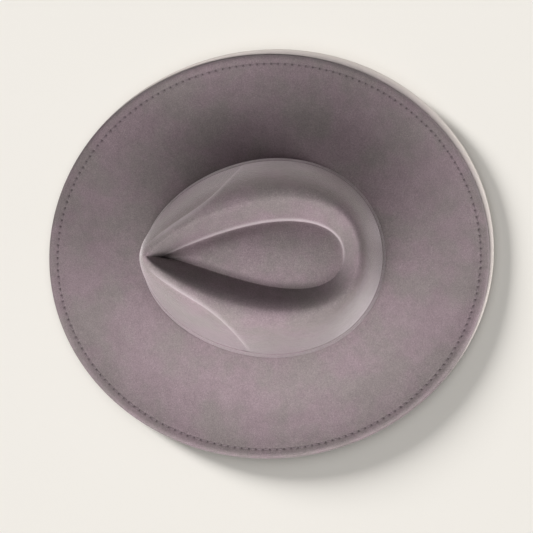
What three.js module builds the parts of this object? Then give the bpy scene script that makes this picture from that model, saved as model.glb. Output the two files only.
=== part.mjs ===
// A wide-brimmed felt hat with a pinched teardrop crown, as an assembly of its separate pieces.
// Millimetres, +Z up. The wearer looks along -Y, and +X is the wearer's left.
// Every ring is sampled at the same SIDES angles: angle 0 is the front (-Y), a quarter turn is +X.

import * as THREE from 'three';

const { degToRad, lerp, smoothstep } = THREE.MathUtils;

// ---------------------------------------------------------------- driving dimensions

const SIDES = 48; // facets round every ring
const GAP = 0.3; // clearance between pieces that touch

// Crown, measured outside. The oval leaves a head size of 59 cm inside the sweatband.
const CROWN_HALF_LENGTH = 108;
const CROWN_HALF_WIDTH = 88;
const CROWN_EGG = 0.1; // how much narrower the oval is in front than behind
const CROWN_THICKNESS = 2.4;
const CREST_HEIGHT = 108; // of the ridge round the crown's top, above the crown's lower edge
const CREST_FRONT_RISE = 3;
const CREST = { front: -91.5, back: 88, halfWidth: 49, taper: [0.4, 0.36], bluntness: 0.85, shift: 4 };
const CREASE = { front: -82, back: 74, halfWidth: 29, taper: [0.58, 0.88], bluntness: 0.9, shift: 3 };
const CREASE_DEPTH = 25;
const CREASE_BACK_RISE = 5; // how much shallower the crease is at the back
const DOME = { x: 2, y: 15, height: 94 }; // middle of the raised teardrop inside the crease
const DOME_FULLNESS = 2; // how steeply it rises from the crease before it levels out
const DOME_ROUND_AT = 0.67; // share of the way to its middle where its outline is a plain oval
// The two front dents that the fingers hold. The lip of each runs back at lipHeight, as a share
// of the wall, and turns down to the crown's lower edge at the angle lipBack.
const DENT = { depth: 3.2, lipHeight: 0.9, lipBack: degToRad(83), edge: 0.6 };

// Crown wall as a cubic from lower edge to crest: [share of the way in, share of the height]
const WALL_CURVE = [[0, 0], [0.16, 0.42], [0.47, 1], [1, 1]];
// Fall from crest into the crease: [share of the way in, share of the depth]
const INNER_WALL_CURVE = [[0, 0], [0.28, 0], [0.75, 0.7], [1, 1]];

// Brim: two suede layers over a stiff core, wired at the rim
const BRIM_HALF_LENGTH = 199;
const BRIM_HALF_WIDTH = 181.4;
const BRIM_SHIFT = 3; // brim's middle behind the crown's middle
const BRIM_SIDE_SHIFT = -2.3; // brim's middle beside the crown's middle
const BREAK_RISE = 8; // brim's underside above the floor where it meets the crown
const BRIM_LOW_AT = 0.6; // share of the brim's width where it is lowest
const REST_SINK = 1; // how far the curve would pass below the floor if it did not flatten there
const RIM_RISE = 5.5;
const EDGE_RISE = 8; // further rise for each unit of that share beyond the top layer's edge
const SIDE_RISE = 5; // extra rise of the left and right sides
const LAYER_THICKNESS = 1;
const CORE_THICKNESS = 2;
const STITCH_AT = 0.918; // edge stitching, as a share of the brim's width
const WIRE_AT = 0.955;
const WIRE_RADIUS = 0.45;
const UNDER_LAYER_PROUD = { least: 0.5, most: 6.5, at: degToRad(230) }; // past the top layer's edge
const THREAD = 0.5; // width and thickness of every row of stitching

// Inside the crown, heights above the crown's lower edge
const SEAM_HEIGHT = 1;
const LINING_FOOT = 4;
const BAND_TOP = 15; // of the outside hat band
const SWEATBAND_TOP = 32;
const LINING_TOP = 68;
const SWEATBAND_THICKNESS = 1.2;
const BAND_THICKNESS = 1.5;
const LINING_THICKNESS = 0.5;
const REED_RADIUS = 0.7;
const TAPE_THICKNESS = 0.35;

// Heights worked out from the stack of layers
const CORE_BOTTOM = LAYER_THICKNESS + GAP;
const TOP_LAYER_BOTTOM = CORE_BOTTOM + CORE_THICKNESS + GAP;
const BRIM_TOP = TOP_LAYER_BOTTOM + LAYER_THICKNESS;
const CROWN_FOOT = BREAK_RISE + TOP_LAYER_BOTTOM;
const LINING_DEPTH = CROWN_THICKNESS + GAP;
const SWEATBAND_DEPTH = LINING_DEPTH + LINING_THICKNESS + 2 * GAP;
const SWEATBAND_FACE = SWEATBAND_DEPTH + SWEATBAND_THICKNESS;

// Rows that neighbouring pieces share, so that their facets run parallel
const WALL_ROWS = [0, BAND_TOP, SWEATBAND_TOP, 50, LINING_TOP];
const BRIM_ROWS = [0.12, 0.3, 0.46, BRIM_LOW_AT, 0.78, STITCH_AT];

// ---------------------------------------------------------------- materials

const finish = (color, roughness, metalness = 0) => (
  new THREE.MeshStandardMaterial({ color, roughness, metalness })
);
const SUEDE = finish(0x8d7f82, 0.95);
const UNDER_SUEDE = finish(0x998b8d, 0.95);
const CORE_FELT = finish(0x6f6668, 1);
const STEEL = finish(0xb9bcc0, 0.35, 1);
const EDGE_THREAD = finish(0x6a5c62, 0.8);
const BAND_THREAD = finish(0xd8cfc4, 0.8);
const LEATHER = finish(0x4a3a36, 0.55);
const REED_PLASTIC = finish(0xd9d6cf, 0.4);
const TAPE_FABRIC = finish(0x2f292a, 0.8);
const SATIN = finish(0xb7a9ab, 0.35);
const RIBBON = finish(0x5c4f54, 0.6);

// ---------------------------------------------------------------- curves and surfaces

const ringAngles = Array.from({ length: SIDES }, (_, i) => (i / SIDES) * 2 * Math.PI);

function bezier(points, t) {
  const weights = [(1 - t) ** 3, 3 * t * (1 - t) ** 2, 3 * t * t * (1 - t), t ** 3];
  return [0, 1].map((axis) => weights.reduce((sum, w, k) => sum + w * points[k][axis], 0));
}

function crownOval(u, outward = 0) {
  const oval = (angle) => new THREE.Vector2(
    CROWN_HALF_WIDTH * Math.sin(angle) * (1 - CROWN_EGG * Math.cos(angle)),
    -CROWN_HALF_LENGTH * Math.cos(angle),
  );
  const step = 1e-3;
  const along = oval(u + step).sub(oval(u - step)).normalize();
  return oval(u).add(new THREE.Vector2(along.y, -along.x).multiplyScalar(outward));
}

// A teardrop seen from above, pointed at the front. Taper sets how long its point is on the
// right (-X) and left (+X), and a lower bluntness exponent squares off its back. Pointedness
// scales both tapers, down to an oval at 0.
function teardrop(u, { front, back, halfWidth, taper, bluntness, shift }, pointedness = 1) {
  const sharpness = pointedness * taper[Math.sin(u) > 0 ? 1 : 0];
  const swell = (angle) => (
    Math.abs(Math.sin(angle)) ** bluntness * ((1 - Math.cos(angle)) / 2) ** sharpness
  );
  const widest = swell(Math.acos(-sharpness / (bluntness + sharpness)));
  const side = Math.sign(Math.sin(u));
  const shareBack = (1 - Math.cos(u)) / 2;
  return new THREE.Vector2(
    shift * shareBack + side * halfWidth * swell(u) / widest,
    lerp(front, back, shareBack),
  );
}

// How far a point on the wall is pressed in by the front dents.
function dentDepth(u, t) {
  const back = Math.abs(Math.atan2(Math.sin(u), Math.cos(u))) / DENT.lipBack;
  const level = back ** 8 + (t / DENT.lipHeight) ** 2; // 1 on the lip, less inside the dent
  const start = smoothstep(back, 0.14, 0.54);
  return DENT.depth * start * smoothstep(t, 0, 0.5) * smoothstep(1 - level, 0, DENT.edge);
}

// Outside of the crown: stage 0..1 is the wall, 1..2 falls into the crease, 2..3 is the dome.
function crownSurface(u, stage) {
  const crest = teardrop(u, CREST);
  const crease = teardrop(u, CREASE);
  const crestHeight = CREST_HEIGHT + CREST_FRONT_RISE * Math.cos(u);
  const depth = CREASE_DEPTH - CREASE_BACK_RISE * ((1 - Math.cos(u)) / 2) ** 2;
  if (stage <= 1) {
    const [inward, up] = bezier(WALL_CURVE, stage);
    const plan = crownOval(u).lerp(crest, inward);
    plan.lerp(new THREE.Vector2(0, 0), dentDepth(u, stage) / plan.length());
    return new THREE.Vector3(plan.x, plan.y, CROWN_FOOT + up * crestHeight);
  }
  if (stage <= 2) {
    const [inward, down] = bezier(INNER_WALL_CURVE, stage - 1);
    const plan = crest.lerp(crease, inward);
    return new THREE.Vector3(plan.x, plan.y, CROWN_FOOT + crestHeight - down * depth);
  }
  const inward = stage - 2;
  const outline = teardrop(u, CREASE, 1 - smoothstep(inward, 0, DOME_ROUND_AT));
  const plan = outline.lerp(new THREE.Vector2(DOME.x, DOME.y), inward);
  const height = lerp(DOME.height, crestHeight - depth, (1 - inward) ** DOME_FULLNESS);
  return new THREE.Vector3(plan.x, plan.y, CROWN_FOOT + height);
}

// The point `depth` inside the crown's outside surface; a negative depth is outside it.
function crownPoint(u, stage, depth) {
  const step = 1e-3;
  const around = crownSurface(u + step, stage).sub(crownSurface(u - step, stage));
  const up = crownSurface(u, stage + step).sub(crownSurface(u, Math.max(0, stage - step)));
  const normal = around.cross(up).normalize();
  normal.z *= smoothstep(stage, 0, 0.4);
  return crownSurface(u, stage).addScaledVector(normal.normalize(), -depth);
}

// Stage of the crown wall at a height above the crown's lower edge.
function wallStage(u, height) {
  let low = 0;
  let high = 1;
  for (let i = 0; i < 30; i++) {
    const middle = (low + high) / 2;
    if (crownSurface(u, middle).z < CROWN_FOOT + height) low = middle;
    else high = middle;
  }
  return low;
}

const wallPoint = (u, height, depth) => crownPoint(u, wallStage(u, height), depth);

// Height of the brim's underside: it falls from the crown, lies flat on the floor at the
// front and back, and curls up to the rim.
function brimHeight(u, s) {
  const fall = lerp(BREAK_RISE, -REST_SINK, smoothstep(s, 0, BRIM_LOW_AT));
  const past = Math.max(0, s - BRIM_LOW_AT) / (1 - BRIM_LOW_AT);
  const curl = RIM_RISE * Math.min(past, 1) ** 3 + EDGE_RISE * Math.max(0, past - 1);
  const lift = SIDE_RISE * (Math.max(0, s) * Math.sin(u)) ** 2;
  return Math.max(0, fall + curl + lift);
}

// s runs from 0 at the crown's outside to 1 at the top layer's edge.
function brimPoint(u, s, above) {
  const rim = new THREE.Vector2(
    BRIM_SIDE_SHIFT + BRIM_HALF_WIDTH * Math.sin(u),
    BRIM_SHIFT - BRIM_HALF_LENGTH * Math.cos(u),
  );
  const plan = crownOval(u, GAP).lerp(rim, s);
  return new THREE.Vector3(plan.x, plan.y, brimHeight(u, s) + above);
}

const brimWidth = (u) => brimPoint(u, 1, 0).setZ(0).distanceTo(brimPoint(u, 0, 0).setZ(0));

// ---------------------------------------------------------------- closed bodies

const ring = (pointAt) => ringAngles.map((u) => pointAt(u));

function signedVolume(positions, index) {
  const corner = (k) => new THREE.Vector3().fromArray(positions, 3 * index[k]);
  let sum = 0;
  for (let k = 0; k < index.length; k += 3) {
    sum += corner(k).dot(corner(k + 1).cross(corner(k + 2)));
  }
  return sum / 6;
}

// Covers rows of points with one closed surface. A row is a ring of points, or a single point
// that closes the surface there. Rows with no single points form a loop, last row to first.
function skin(rows) {
  const positions = [];
  const numbered = rows.map((row) => row.map((p) => positions.push(p.x, p.y, p.z) / 3 - 1));
  const bands = rows[0].length === 1 ? rows.length - 1 : rows.length;
  const index = [];
  for (let r = 0; r < bands; r++) {
    const a = numbered[r];
    const b = numbered[(r + 1) % rows.length];
    for (let i = 0; i < SIDES; i++) {
      const [a0, a1] = [a[i % a.length], a[(i + 1) % a.length % SIDES]];
      const [b0, b1] = [b[i % b.length], b[(i + 1) % b.length % SIDES]];
      if (a0 !== a1) index.push(a0, a1, b1);
      if (b0 !== b1) index.push(a0, b1, b0);
    }
  }
  if (signedVolume(positions, index) < 0) index.reverse();
  const geometry = new THREE.BufferGeometry();
  geometry.setAttribute('position', new THREE.Float32BufferAttribute(positions, 3));
  geometry.setIndex(index);
  geometry.computeVertexNormals();
  return geometry;
}

// A band lying between two depths on the crown wall.
function wallBand(heights, nearDepth, farDepth) {
  const near = heights.map((h) => ring((u) => wallPoint(u, h, nearDepth)));
  const far = heights.map((h) => ring((u) => wallPoint(u, h, farDepth)));
  return skin([...near, ...far.reverse()]);
}

// A layer of the brim between two heights above the brim's underside.
function brimLayer(shares, bottom, top) {
  const share = (s, u) => (typeof s === 'function' ? s(u) : s);
  const under = shares.map((s) => ring((u) => brimPoint(u, share(s, u), bottom)));
  const over = shares.map((s) => ring((u) => brimPoint(u, share(s, u), top)));
  return skin([...under, ...over.reverse()]);
}

// A cord round the hat whose section is a closed list of [outward, up] offsets.
function sectionRing(section, centreAt) {
  return skin(section.map(([outward, up]) => ring((u) => {
    const centre = centreAt(u);
    const along = centreAt(u + 0.01).sub(centreAt(u - 0.01)).setZ(0).normalize();
    return centre.add(new THREE.Vector3(along.y * outward, -along.x * outward, up));
  })));
}

const roundSection = (radius, count) => Array.from({ length: count }, (_, i) => {
  const angle = ((i + 0.5) / count) * 2 * Math.PI;
  return [radius * Math.cos(angle), radius * Math.sin(angle)];
});

const threadSection = [[-1, -1], [1, -1], [1, 1], [-1, 1]].map((corner) => (
  corner.map((side) => side * THREAD / 2)
));

// ---------------------------------------------------------------- crown and brim

function crownShell() {
  const shoulder = [0.62, 0.74, 0.87, 1];
  const crease = [4 / 3, 5 / 3, 2];
  const dome = [2.35, 2.7];
  const stages = [...shoulder, ...crease, ...dome];
  const side = (depth) => [
    ...WALL_ROWS.map((h) => ring((u) => wallPoint(u, h, depth))),
    ...stages.map((stage) => ring((u) => crownPoint(u, stage, depth))),
  ];
  const middle = new THREE.Vector3(DOME.x, DOME.y, CROWN_FOOT + DOME.height);
  const middleInside = middle.clone().setZ(middle.z - CROWN_THICKNESS);
  return skin([[middle], ...side(0).reverse(), ...side(CROWN_THICKNESS), [middleInside]]);
}

function brimTopLayer() {
  return brimLayer([0, ...BRIM_ROWS, WIRE_AT, 1], TOP_LAYER_BOTTOM, BRIM_TOP);
}

// The core and the under layer reach in below the crown's lower edge.
const underCrown = (u) => -(CROWN_THICKNESS + GAP) / brimWidth(u);

function brimCore() {
  return brimLayer([underCrown, ...BRIM_ROWS], CORE_BOTTOM, CORE_BOTTOM + CORE_THICKNESS);
}

function brimUnderLayer() {
  const { least, most, at } = UNDER_LAYER_PROUD;
  const proud = (u) => lerp(least, most, ((1 + Math.cos(u - at)) / 2) ** 3);
  const edge = (u) => 1 + proud(u) / brimWidth(u);
  return brimLayer([underCrown, ...BRIM_ROWS, WIRE_AT, 1, edge], 0, LAYER_THICKNESS);
}

// ---------------------------------------------------------------- rim wire and stitching

const wireHeight = (LAYER_THICKNESS + TOP_LAYER_BOTTOM) / 2;
const wireCentre = (u) => brimPoint(u, WIRE_AT, wireHeight);

const brimWire = () => sectionRing(roundSection(WIRE_RADIUS, 6), wireCentre);

// A crimped sleeve over the wire's joint, lying along the first straight facet past the back.
function brimWireSleeve() {
  const length = 14;
  const [inner, outer] = [WIRE_RADIUS + 0.2, WIRE_RADIUS + 0.5];
  const profile = [[inner, 0], [outer, 0], [outer, length], [inner, length], [inner, 0]];
  const geometry = new THREE.LatheGeometry(profile.map((p) => new THREE.Vector2(...p)), 12);
  const start = wireCentre(ringAngles[SIDES / 2]);
  const end = wireCentre(ringAngles[SIDES / 2 + 1]);
  const along = end.clone().sub(start).normalize();
  const place = start.add(end).multiplyScalar(0.5).addScaledVector(along, -length / 2);
  const turn = new THREE.Quaternion().setFromUnitVectors(new THREE.Vector3(0, 1, 0), along);
  return geometry.applyQuaternion(turn).translate(place.x, place.y, place.z);
}

const stitchOffset = GAP + THREAD / 2;
const edgeStitchTop = () => sectionRing(threadSection, (u) => (
  brimPoint(u, STITCH_AT, BRIM_TOP + stitchOffset + 0.1)
));
const edgeStitchUnder = () => sectionRing(threadSection, (u) => (
  brimPoint(u, STITCH_AT, -stitchOffset - 0.1)
));
const crownSeamThread = () => sectionRing(threadSection, (u) => (
  wallPoint(u, SEAM_HEIGHT, LINING_DEPTH + THREAD / 2)
));

// ---------------------------------------------------------------- bands, sweatband and lining

function hatBand() {
  const foot = BRIM_TOP - TOP_LAYER_BOTTOM + GAP;
  return wallBand([foot, BAND_TOP], -GAP, -GAP - BAND_THICKNESS);
}

const sweatband = () => wallBand([0, BAND_TOP, SWEATBAND_TOP], SWEATBAND_DEPTH, SWEATBAND_FACE);

const reedCentre = (u) => {
  const middle = (SWEATBAND_DEPTH + SWEATBAND_FACE) / 2;
  const drop = REED_RADIUS + TAPE_THICKNESS + 2 * GAP;
  const point = wallPoint(u, 0, middle);
  return point.setZ(point.z - drop);
};

const sweatbandReed = () => sectionRing(roundSection(REED_RADIUS, 6), reedCentre);

// The tape is folded round the reed from outside and stays open towards the head.
function reedTape() {
  const [inner, outer] = [REED_RADIUS + GAP, REED_RADIUS + GAP + TAPE_THICKNESS];
  const corners = [0.8, 0.4, 0, -0.4, -0.8].map((share) => share * Math.PI);
  const arc = (radius) => corners.map((angle) => [
    radius * Math.cos(angle),
    radius * Math.sin(angle),
  ]);
  return sectionRing([...arc(outer), ...arc(inner).reverse()], reedCentre);
}

const sweatbandStitching = () => sectionRing(threadSection, (u) => (
  wallPoint(u, 2.5, SWEATBAND_FACE + stitchOffset)
));

// A small flat ribbon bow that marks the back of the sweatband.
function sweatbandBow() {
  const half = new THREE.Shape();
  half.moveTo(0, 1.6);
  half.bezierCurveTo(4, 2.2, 7, 5, 10, 4.6);
  half.bezierCurveTo(11.6, 2.4, 11.6, -2.4, 10, -4.6);
  half.bezierCurveTo(7, -5, 4, -2.2, 0, -1.6);
  half.bezierCurveTo(-4, -2.2, -7, -5, -10, -4.6);
  half.bezierCurveTo(-11.6, -2.4, -11.6, 2.4, -10, 4.6);
  half.bezierCurveTo(-7, 5, -4, 2.2, 0, 1.6);
  const depth = 1.2;
  const bow = new THREE.ExtrudeGeometry(half, { depth, bevelEnabled: false, curveSegments: 4 });
  const height = 14;
  const clearance = 2; // the flat bow spans a curved band
  const face = wallPoint(Math.PI, height, SWEATBAND_FACE);
  return bow.rotateX(Math.PI / 2).translate(0, face.y - clearance, face.z);
}

function liningSide() {
  const heights = [LINING_FOOT, ...WALL_ROWS.slice(1)];
  return wallBand(heights, LINING_DEPTH, LINING_DEPTH + LINING_THICKNESS);
}

// The oval top panel of the lining: flat in the middle and sewn to the side lining's top edge.
const TIP_RISE = 5;
function liningTip() {
  const middle = new THREE.Vector2(0, 0);
  const shares = [0, 0.25, 0.6];
  const row = (share, drop) => ring((u) => {
    const rim = wallPoint(u, LINING_TOP, LINING_DEPTH + LINING_THICKNESS + GAP);
    const plan = new THREE.Vector2(rim.x, rim.y).lerp(middle, share);
    const rise = TIP_RISE * Math.min(1, share / 0.6);
    return new THREE.Vector3(plan.x, plan.y, CROWN_FOOT + LINING_TOP + rise - drop);
  });
  const centre = (drop) => [
    new THREE.Vector3(0, 0, CROWN_FOOT + LINING_TOP + TIP_RISE - drop),
  ];
  const over = shares.map((share) => row(share, 0));
  const under = shares.map((share) => row(share, LINING_THICKNESS));
  return skin([centre(0), ...over.reverse(), ...under, centre(LINING_THICKNESS)]);
}

// A blank fabric patch under the middle of the lining's top.
function liningLabel() {
  const [halfX, halfY, corner, depth] = [17, 11, 4, 0.4];
  const patch = new THREE.Shape();
  patch.moveTo(-halfX + corner, -halfY);
  patch.lineTo(halfX - corner, -halfY);
  patch.absarc(halfX - corner, -halfY + corner, corner, -Math.PI / 2, 0);
  patch.absarc(halfX - corner, halfY - corner, corner, 0, Math.PI / 2);
  patch.absarc(-halfX + corner, halfY - corner, corner, Math.PI / 2, Math.PI);
  patch.absarc(-halfX + corner, -halfY + corner, corner, Math.PI, 1.5 * Math.PI);
  const label = new THREE.ExtrudeGeometry(patch, { depth, bevelEnabled: false, curveSegments: 4 });
  const underside = CROWN_FOOT + LINING_TOP + TIP_RISE - LINING_THICKNESS;
  return label.translate(0, 0, underside - GAP - depth);
}

// ---------------------------------------------------------------- assembly

const pieces = [
  ['crown_shell', crownShell, SUEDE],
  ['brim_top_layer', brimTopLayer, SUEDE],
  ['brim_core', brimCore, CORE_FELT],
  ['brim_under_layer', brimUnderLayer, UNDER_SUEDE],
  ['brim_wire', brimWire, STEEL],
  ['brim_wire_sleeve', brimWireSleeve, STEEL],
  ['edge_stitching_top', edgeStitchTop, EDGE_THREAD],
  ['edge_stitching_under', edgeStitchUnder, EDGE_THREAD],
  ['crown_seam_thread', crownSeamThread, EDGE_THREAD],
  ['hat_band', hatBand, SUEDE],
  ['sweatband', sweatband, LEATHER],
  ['sweatband_reed', sweatbandReed, REED_PLASTIC],
  ['sweatband_reed_tape', reedTape, TAPE_FABRIC],
  ['sweatband_stitching', sweatbandStitching, BAND_THREAD],
  ['sweatband_bow', sweatbandBow, RIBBON],
  ['lining_side', liningSide, SATIN],
  ['lining_tip', liningTip, SATIN],
  ['lining_label', liningLabel, RIBBON],
];

const hat = new THREE.Group();
for (const [name, build, material] of pieces) {
  const mesh = new THREE.Mesh(build(), material.clone());
  mesh.name = name;
  hat.add(mesh);
}

// The origin is the middle of the whole hat's outline, on the floor.
const middle = new THREE.Box3().setFromObject(hat).getCenter(new THREE.Vector3());
hat.position.set(-middle.x, -middle.y, 0);

export default hat;
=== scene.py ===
"""A wide-brimmed suede-felt hat with a pinched teardrop crown, dressed round its CAD frame.

Outlines are worked out in millimetres round the crown's middle, and every mesh is placed in the
frame in metres. Angle 0 is the front of the hat (-Y) and a quarter turn is the wearer's left (+X).
"""
import math

import bpy
import numpy as np
from mathutils import Matrix, Vector


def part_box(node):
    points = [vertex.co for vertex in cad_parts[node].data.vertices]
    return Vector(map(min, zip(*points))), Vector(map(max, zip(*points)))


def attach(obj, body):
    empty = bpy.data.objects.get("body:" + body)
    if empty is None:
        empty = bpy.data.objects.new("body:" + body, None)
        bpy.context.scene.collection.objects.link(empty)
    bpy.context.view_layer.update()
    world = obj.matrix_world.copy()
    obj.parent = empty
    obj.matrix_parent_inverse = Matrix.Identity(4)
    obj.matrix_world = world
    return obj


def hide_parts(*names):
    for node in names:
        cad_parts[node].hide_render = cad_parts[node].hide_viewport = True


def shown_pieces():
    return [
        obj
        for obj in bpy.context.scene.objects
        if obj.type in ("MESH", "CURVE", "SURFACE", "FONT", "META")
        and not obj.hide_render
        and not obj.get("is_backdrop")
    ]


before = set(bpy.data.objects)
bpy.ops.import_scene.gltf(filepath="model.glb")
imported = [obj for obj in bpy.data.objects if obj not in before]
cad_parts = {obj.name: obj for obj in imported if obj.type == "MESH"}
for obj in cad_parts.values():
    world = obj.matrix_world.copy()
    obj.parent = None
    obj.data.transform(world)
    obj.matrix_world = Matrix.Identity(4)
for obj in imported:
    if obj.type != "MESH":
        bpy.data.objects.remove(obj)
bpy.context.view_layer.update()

# ------------------------------------------------------------------ places from the frame

MM = 0.001
CROWN_LOW, CROWN_HIGH = (np.array(corner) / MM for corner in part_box("crown_shell"))
TOP_LOW, TOP_HIGH = (np.array(corner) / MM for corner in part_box("brim_top_layer"))
LABEL_LOW, LABEL_HIGH = (np.array(corner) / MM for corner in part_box("lining_label"))
BOW_LOW, BOW_HIGH = (np.array(corner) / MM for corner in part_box("sweatband_bow"))

ORIGIN = np.array([*(CROWN_LOW + CROWN_HIGH)[:2] / 2, 0])  # the crown's middle, on the floor
CROWN_FOOT = CROWN_LOW[2]
BRIM_HALF_WIDTH, BRIM_HALF_LENGTH = (TOP_HIGH - TOP_LOW)[:2] / 2
BRIM_MIDDLE = ((TOP_LOW + TOP_HIGH) / 2 - ORIGIN)[:2]

# ------------------------------------------------------------------ sizes, millimetres

CROWN_HALF_LENGTH = 108
CROWN_HALF_WIDTH = 88
CROWN_EGG = 0.1  # the share by which its back is fuller and its front narrower
CROWN_THICKNESS = 2.4
CREST_HEIGHT = 108
CREST_FRONT_RISE = 3
CREST = {"front": -91.5, "back": 88, "half_width": 49, "taper": (0.4, 0.36), "blunt": 0.85, "shift": 4}
CREASE = {"front": -82, "back": 74, "half_width": 29, "taper": (0.58, 0.88), "blunt": 0.9, "shift": 3}
CREASE_DEPTH, CREASE_BACK_RISE = 25, 5
DOME = {"x": 2, "y": 15, "height": 94}
DOME_FULLNESS = 2
DOME_ROUND_AT = 0.67  # share of the way to its middle where its outline is a plain oval

# Bezier curves, (share inward, share up or down), of the wall and of its fall into the crease
WALL_CURVE = ((0, 0), (0.16, 0.42), (0.47, 1), (1, 1))
INNER_WALL_CURVE = ((0, 0), (0.28, 0), (0.75, 0.7), (1, 1))

GAP = 0.3  # between neighbouring parts
BREAK_RISE, REST_SINK, RIM_RISE, EDGE_RISE, SIDE_RISE = 8, 1, 5.5, 8, 5
BRIM_LOW_AT = 0.6  # share of the brim's width, from the crown outwards
STITCH_AT = 0.918
LAYER = 1
TOP_LAYER_BOTTOM = 3.6
BRIM_TOP = TOP_LAYER_BOTTOM + LAYER
UNDER_PROUD = {"least": 0.5, "most": 6.5, "at": math.radians(230), "sharpness": 3}

# Depths are measured inward from the crown's outside, heights upward from its foot.
LINING_DEPTH, LINING_THICKNESS = 2.7, 0.5
LINING_FOOT, LINING_TOP = 4, 68
SWEATBAND_DEPTH = 3.8
SWEATBAND_THICKNESS = 1.2
SWEATBAND_FACE = SWEATBAND_DEPTH + SWEATBAND_THICKNESS
SWEATBAND_TOP = 32
BAND_FOOT, BAND_TOP, BAND_THICKNESS = 1.3, 15, 1.2
CROWN_SEAM_HEIGHT, SWEATBAND_SEAM_HEIGHT = 1, 2.5
REED_RADIUS, TAPE_THICKNESS = 0.7, 0.35

STITCHES = 190  # round the brim
CROWN_SEAM_STITCHES, SWEATBAND_STITCHES, LABEL_STITCHES = 150, 200, 64
BRIM_SIDES = 6 * STITCHES
CROWN_SIDES = 576
BAND_SIDES = 480
SWEATBAND_SIDES = 320

# ------------------------------------------------------------------ outlines


def smooth(x):
    """0 below 0, 1 above 1, and a smooth S between."""
    x = np.clip(x, 0, 1)
    return x * x * (3 - 2 * x)


def bezier(points, t):
    weights = ((1 - t) ** 3, 3 * t * (1 - t) ** 2, 3 * t * t * (1 - t), t**3)
    return [sum(w * p[axis] for w, p in zip(weights, points)) for axis in (0, 1)]


def angles(sides):
    return np.arange(sides) / sides * 2 * math.pi


def plan(x, y):
    return np.stack([x, y], -1)


def crown_oval(u, outward=0.0):
    def oval(a):
        width = CROWN_HALF_WIDTH * np.sin(a) * (1 - CROWN_EGG * np.cos(a))
        return plan(width, -CROWN_HALF_LENGTH * np.cos(a))

    along = oval(u + 1e-3) - oval(u - 1e-3)
    along /= np.linalg.norm(along, axis=-1, keepdims=True)
    return oval(u) + plan(along[..., 1], -along[..., 0]) * np.asarray(outward)[..., None]


def teardrop(u, shape, pointedness=1):
    """A teardrop pointed at the front, its right (-X) and left tapers down to an oval's at 0."""
    right, left = shape["taper"]
    taper = pointedness * np.where(np.sin(u) > 0, left, right)

    def swell(a):
        return np.abs(np.sin(a)) ** shape["blunt"] * ((1 - np.cos(a)) / 2) ** taper

    widest = swell(np.arccos(-taper / (shape["blunt"] + taper)))
    back = (1 - np.cos(u)) / 2
    x = shape["shift"] * back + np.sign(np.sin(u)) * shape["half_width"] * swell(u) / widest
    return plan(x, shape["front"] + (shape["back"] - shape["front"]) * back)


def from_front(u):
    return np.abs(np.arctan2(np.sin(u), np.cos(u)))


# The finger dents either side of the front. A lip bounds each: it runs back just under the crest,
# then turns down to the crown's foot.
DENT_DEPTH = 3.2
DENT_FRONT, DENT_FADE = 0.14, 0.4  # where the dents begin, as shares of the way to LIP_BACK
DENT_FULL_AT = 0.5  # stage of the wall from which the dents have their full depth
LIP_HEIGHT = 0.9  # stage of the wall where the lip runs back
LIP_BACK = math.radians(83)  # where it turns down
CRISP_EDGE, SOFT_EDGE = 0.16, 0.6
LEVEL_NORMAL_TO = 0.4


def lip_level(u, t):
    """1 on the lip, less inside the dent and more outside it."""
    return (from_front(u) / LIP_BACK) ** 8 + (t / LIP_HEIGHT) ** 2


def dent_start(u):
    """The dents fade out towards the front of the crown."""
    return smooth((from_front(u) / LIP_BACK - DENT_FRONT) / DENT_FADE)


def dent(u, t, edge):
    """How far the wall is pressed in; edge is how softly the dent ends at its lip."""
    inside = smooth((1 - lip_level(u, t)) / edge)
    return DENT_DEPTH * dent_start(u) * smooth(t / DENT_FULL_AT) * inside


def crown_surface(u, stage, edge=CRISP_EDGE):
    """Outside of the crown: stage 0..1 is the wall, 1..2 falls into the crease, 2..3 is the dome."""
    u, stage = np.broadcast_arrays(u, stage)
    crest, crease = teardrop(u, CREST), teardrop(u, CREASE)
    crest_height = CREST_HEIGHT + CREST_FRONT_RISE * np.cos(u)
    depth = CREASE_DEPTH - CREASE_BACK_RISE * ((1 - np.cos(u)) / 2) ** 2

    t = np.clip(stage, 0, 1)
    inward, up = bezier(WALL_CURVE, t)
    wall = crown_oval(u) * (1 - inward)[..., None] + crest * inward[..., None]
    wall *= (1 - dent(u, t, edge) / np.linalg.norm(wall, axis=-1))[..., None]
    wall_height = up * crest_height

    inward, down = bezier(INNER_WALL_CURVE, np.clip(stage - 1, 0, 1))
    fall = crest * (1 - inward)[..., None] + crease * inward[..., None]
    fall_height = crest_height - down * depth

    inward = np.clip(stage - 2, 0, 1)
    middle = np.array([DOME["x"], DOME["y"]])
    outline = teardrop(u, CREASE, 1 - smooth(inward / DOME_ROUND_AT))
    dome = outline * (1 - inward)[..., None] + middle * inward[..., None]
    crease_height = crest_height - depth
    dome_height = DOME["height"] + (crease_height - DOME["height"]) * (1 - inward) ** DOME_FULLNESS

    on_wall, on_fall = stage <= 1, stage <= 2
    xy = np.where(on_wall[..., None], wall, np.where(on_fall[..., None], fall, dome))
    z = np.where(on_wall, wall_height, np.where(on_fall, fall_height, dome_height))
    return np.concatenate([xy, (CROWN_FOOT + z)[..., None]], -1)


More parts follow.
